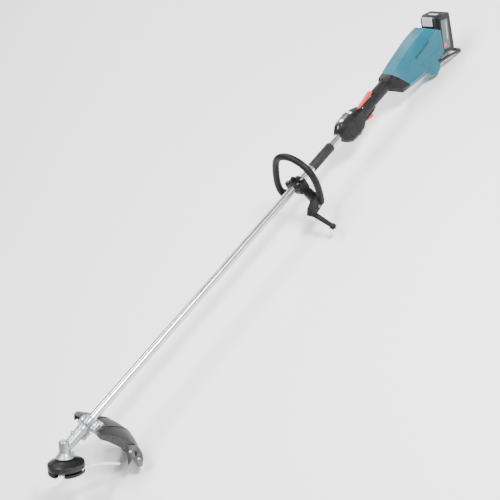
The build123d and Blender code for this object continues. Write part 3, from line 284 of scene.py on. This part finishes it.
# raised lines on the housing flanks
for side, node in ((-1, "motor_housing_left"), (1, "motor_housing_right")):
    bm = bmesh.new()
    for pts in ([(1588, -25.0), (1612, -27.2), (1636, -29.4), (1660, -31.4), (1684, -33.2)],):
        hits = [hit(node, x, side * 120, z) for x, z in pts]
        hits = [h for h in hits if h]
        if len(hits) > 2:
            nrm = sum((h[1] for h in hits), Vector()).normalized()
            bar(bm, [h[0] + nrm * 0.0001 for h in hits], 0.0030, 0.0008, nrm)
    if len(bm.verts):
        new_piece("housing_ridge_%s" % ("left" if side < 0 else "right"), bm, "housing_teal", "machine")
    else:
        bm.free()

# shell screws, driven from the right
bm = bmesh.new()
count = 0
for node, x, z in (("motor_housing_right", 1510, -8), ("motor_housing_right", 1560, -40), ("motor_housing_right", 1668, -52), ("motor_housing_right", 1672, 10),
                   ("handle_shell_right", 1252, -2), ("handle_shell_right", 1318, -14), ("handle_shell_right", 1322, 8)):
    h = hit(node, x, 120, z)
    if h:
        screw_head(bm, h[0] - h[1] * 0.0002, h[1], 0.0031, 0.0012)
        count += 1
if count:
    new_piece("shell_screw_heads", bm, "steel_dark", "machine")
else:
    bm.free()

# ribs on the battery release button
bm = bmesh.new()
for s in range(6):
    z = 95.0 + s * 2.5
    path = [B2W @ mm(-15.05, y, z) for y in (-12.5, -6.0, 0.0, 6.0, 12.5)]
    nrm = (B2W.to_3x3() @ Vector((-1, 0, 0))).normalized()
    bar(bm, path, 0.0013, 0.0005, nrm)
new_piece("latch_ribs", bm, "latch_grey", "battery_latch")

# rolled rings at both ends of the spacer sleeve
def ring_bead(bm, x, r, w, h, sides=64):
    prof = [(-w, 0.0), (-w * 0.7, h * 0.7), (0.0, h), (w * 0.7, h * 0.7), (w, 0.0), (0.0, -h)]
    rings = []
    for dx, dr in prof:
        rings.append([bm.verts.new(S2W @ mm(x + dx, (r + dr) * math.cos(2 * math.pi * k / sides), (r + dr) * math.sin(2 * math.pi * k / sides))) for k in range(sides)])
    for i in range(len(rings)):
        a, b = rings[i], rings[(i + 1) % len(rings)]
        for j in range(sides):
            bm.faces.new((a[j], a[(j + 1) % sides], b[(j + 1) % sides], b[j]))


bm = bmesh.new()
for x in (1107.0, 1191.0):
    ring_bead(bm, x, 14.5, 1.6, 0.5)
new_piece("sleeve_rings", bm, "sleeve_rubber", "machine")

# ribs round the dust lip of the gear case socket
bm = bmesh.new()
for x in (69.5, 79.0):
    ring_bead(bm, x, 16.45, 0.9, 0.35)
new_piece("case_socket_beads", bm, "case_silver", "machine")

# finger ribs beside the button on the battery
bm = bmesh.new()
nrm = (B2W.to_3x3() @ Vector((-1, 0, 0))).normalized()
for y in (-33.8, -31.2, 31.2, 33.8):
    path = [B2W @ mm(0.0, y, z) for z in (80.0, 86.0, 92.0, 98.0, 104.0)]
    bar(bm, path, 0.0011, 0.0006, nrm)
new_piece("battery_grip_ribs", bm, "battery_black", "battery")

# coloured band at the foot of each side panel
accent = node_mat("panel_accent_red", (0.42, 0.045, 0.05), 0.4, grain=1600, tint=0.12)
light = node_mat("panel_accent_pale", (0.30, 0.34, 0.33), 0.4, grain=1600, tint=0.12)
for side in (-1, 1):
    for nm, mt, pts in (("lower", accent, [(8.0, 17.0), (20.0, 19.0), (20.0, 33.0), (8.0, 30.0)]), ("upper", light, [(24.5, 40.0), (28.5, 40.6), (28.5, 97.0), (24.5, 97.0)])):
        bm = bmesh.new()
        y0, y1 = side * 38.45, side * 38.60
        lo = [bm.verts.new(B2W @ mm(x, y0, z)) for x, z in pts]
        hi = [bm.verts.new(B2W @ mm(x, y1 + side * 0.12, z)) for x, z in pts]
        bm.faces.new(hi); bm.faces.new(lo[::-1])
        for j in range(4):
            bm.faces.new((lo[j], lo[(j + 1) % 4], hi[(j + 1) % 4], hi[j]))
        new_piece("panel_band_%s_%s" % (nm, "left" if side < 0 else "right"), bm, "panel_grey_green", "battery", mat=mt)

# ------------------------------------------------------------------ floor, lights, camera
bm = bmesh.new()
vs = [bm.verts.new((x, y, 0.0)) for x, y in ((-30, -30), (30, -30), (30, 30), (-30, 30))]
bm.faces.new(vs)
me = bpy.data.meshes.new("floor"); bm.to_mesh(me); bm.free()
floor = bpy.data.objects.new("floor", me)
bpy.context.scene.collection.objects.link(floor)
floor.location.z = -0.0005
fm = bpy.data.materials.new("floor_paper"); fm.use_nodes = True
fb = fm.node_tree.nodes["Principled BSDF"]
fn = fm.node_tree.nodes.new("ShaderNodeTexNoise"); fn.inputs["Scale"].default_value = 3.0
fr = fm.node_tree.nodes.new("ShaderNodeValToRGB"); fr.color_ramp.elements[0].color = (0.955, 0.955, 0.955, 1); fr.color_ramp.elements[1].color = (0.98, 0.98, 0.98, 1)
fm.node_tree.links.new(fn.outputs["Fac"], fr.inputs["Fac"]); fm.node_tree.links.new(fr.outputs["Color"], fb.inputs["Base Color"])
fb.inputs["Roughness"].default_value = 0.9
fb.inputs["Specular IOR Level"].default_value = 0.1
me.materials.append(fm)

world = bpy.data.worlds.new("studio"); bpy.context.scene.world = world
world.use_nodes = True
world.node_tree.nodes["Background"].inputs["Color"].default_value = (1, 1, 1, 1)
world.node_tree.nodes["Background"].inputs["Strength"].default_value = 0.50


def area(name, loc, target, size, power):
    d = bpy.data.lights.new(name, "AREA"); d.shape = "RECTANGLE"; d.size, d.size_y = size; d.energy = power
    o = bpy.data.objects.new(name, d); bpy.context.scene.collection.objects.link(o)
    o.location = loc
    o.rotation_euler = (Vector(target) - Vector(loc)).to_track_quat("-Z", "Y").to_euler()
    return o


area("key", (0.6, -2.6, 3.0), (0, 0, 0.1), (1.1, 0.7), 330)
area("top", (-0.4, 0.6, 3.4), (0, 0, 0.1), (3.2, 0.45), 175)
area("back", (1.8, 2.6, 1.6), (0.3, 0, 0.1), (1.8, 0.8), 45)

# camera at the viewing angle
C = dict(az=-39.82, el=15.597, roll=-4.021, D=4539.031, f=1592.015, ox=5.954, oy=16.342, th=31.8, zg=60.74)
TGT = Vector((700, 0, 400))
a, e, r = (math.radians(C[k]) for k in ("az", "el", "roll"))
back = Vector((math.sin(a) * math.cos(e), -math.cos(a) * math.cos(e), math.sin(e)))
pos = TGT + back * C["D"]
right = (-back).cross(Vector((0, 0, 1))).normalized()
up = right.cross(-back)
R = right * math.cos(r) + up * math.sin(r)
Up = -right * math.sin(r) + up * math.cos(r)
th = math.radians(C["th"])
T = Vector((math.cos(th), 0, math.sin(th))); N_ = Vector((-math.sin(th), 0, math.cos(th)))
G = Vector((0, 0, C["zg"]))


def u2s(v):
    return Vector((v.dot(T), v.y, v.dot(N_)))


cam_d = bpy.data.cameras.new("camera")
cam = bpy.data.objects.new("camera", cam_d)
bpy.context.scene.collection.objects.link(cam)
rot = Matrix((u2s(R), u2s(Up), u2s(back))).transposed()
cam.matrix_world = Matrix.Translation(S2W @ (u2s(pos - G) / 1000.0)) @ (S2W.to_3x3() @ rot).to_4x4()
cam_d.sensor_width = 36.0
cam_d.lens = 36.0 * C["f"] / 500.0
cam_d.shift_x, cam_d.shift_y = -C["ox"] / 500.0, C["oy"] / 500.0
cam_d.clip_end = 100
bpy.context.scene.camera = cam
